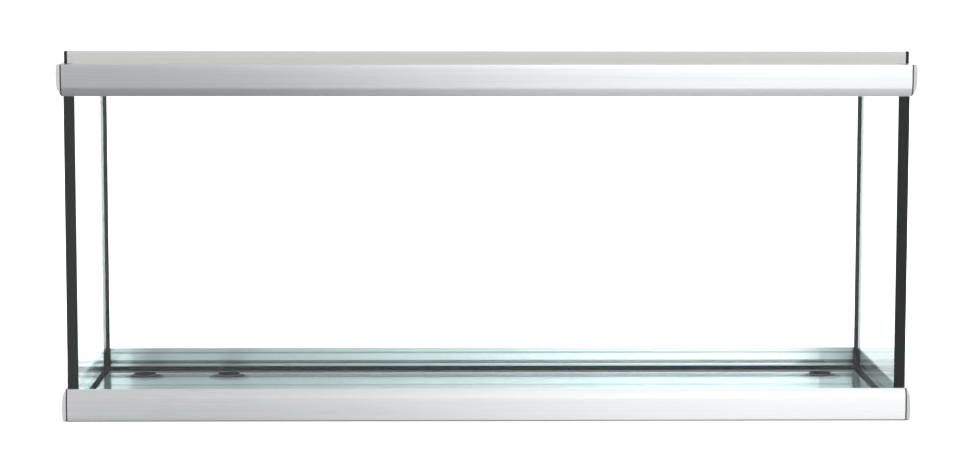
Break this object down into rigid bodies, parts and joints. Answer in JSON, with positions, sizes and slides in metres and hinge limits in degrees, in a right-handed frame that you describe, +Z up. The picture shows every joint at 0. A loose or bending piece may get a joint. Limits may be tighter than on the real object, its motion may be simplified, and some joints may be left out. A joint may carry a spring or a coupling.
{
  "type": "glass aquarium tank",
  "caption": "Long rectangular glass aquarium tank with silver frame rails top and bottom, black silicone seams, a hinged glass cover and plugged filter unions in its base.",
  "frame": {"origin": "middle of the tank's footprint, on the plane it rests on", "axes": "+X along the length to the right as seen from the front, +Y from the front to the back, +Z up"},
  "size_m": [1.2212, 0.4212, 0.528],
  "materials": {
    "glass": "clear float glass with polished green-tinted edges",
    "cover_glass": "clear float glass with polished edges",
    "silicone": "glossy black silicone",
    "rail": "silver, finely brushed along the length, clear anodised",
    "handle": "silver, satin anodised",
    "corner_cap": "light grey moulded plastic, satin",
    "gasket": "matt black rubber",
    "black_plastic": "black moulded plastic, fine grain",
    "grey_plastic": "mid grey moulded plastic, fine grain",
    "steel": "bright stainless steel"
  },
  "bodies": {
    "tank": {"front_glass": "glass", "rear_glass": "glass", "left_glass": "glass", "right_glass": "glass", "base_glass": "glass", "front_brace": "glass", "rear_brace": "glass", "cross_brace": "glass", "corner_seal_front_left": "silicone", "corner_seal_front_right": "silicone", "corner_seal_rear_left": "silicone", "corner_seal_rear_right": "silicone", "base_seal": "silicone", "brace_seals": "silicone", "top_rail_front": "rail", "top_rail_rear": "rail", "top_rail_left": "rail", "top_rail_right": "rail", "bottom_rail_front": "rail", "bottom_rail_rear": "rail", "bottom_rail_left": "rail", "bottom_rail_right": "rail", "top_corner_front_left": "corner_cap", "top_corner_front_right": "corner_cap", "top_corner_rear_left": "corner_cap", "top_corner_rear_right": "corner_cap", "bottom_corner_front_left": "corner_cap", "bottom_corner_front_right": "corner_cap", "bottom_corner_rear_left": "corner_cap", "bottom_corner_rear_right": "corner_cap", "top_corner_gaskets": "gasket", "bottom_corner_gaskets": "gasket", "underlay_strips": "gasket", "union_gaskets": "gasket", "top_corner_keys": "black_plastic", "bottom_corner_keys": "black_plastic", "filter_union_left": "grey_plastic", "filter_union_middle": "grey_plastic", "filter_union_right": "grey_plastic", "union_lock_rings": "grey_plastic", "hinge_base_left": "black_plastic", "hinge_base_right": "black_plastic", "frame_screws": "steel", "hinge_screws": "steel", "hinge_pins": "steel"},
    "lid": {"lid_handle_profile": "handle", "lid_end_cap_left": "black_plastic", "lid_end_cap_right": "black_plastic", "cover_glass": "cover_glass", "cover_gaskets": "gasket", "hinge_leaf_left": "black_plastic", "hinge_leaf_right": "black_plastic"},
    "cap_left": {"union_cap_left": "black_plastic", "cap_o_ring_left": "gasket"},
    "cap_middle": {"union_cap_middle": "black_plastic", "cap_o_ring_middle": "gasket"},
    "cap_right": {"union_cap_right": "black_plastic", "cap_o_ring_right": "gasket"}
  },
  "joints": [
    {"name": "lid_hinge", "type": "hinge", "parent": "tank", "child": "lid", "pos_m": [0, 0.1815, 0.509], "axis": [-1, 0, 0], "range_deg": [0, 95]},
    {"name": "cap_left_lift", "type": "slide", "parent": "tank", "child": "cap_left", "axis": [0, 0, 1], "range_m": [0, 0.06]},
    {"name": "cap_middle_lift", "type": "slide", "parent": "tank", "child": "cap_middle", "axis": [0, 0, 1], "range_m": [0, 0.06]},
    {"name": "cap_right_lift", "type": "slide", "parent": "tank", "child": "cap_right", "axis": [0, 0, 1], "range_m": [0, 0.06]}
  ]
}
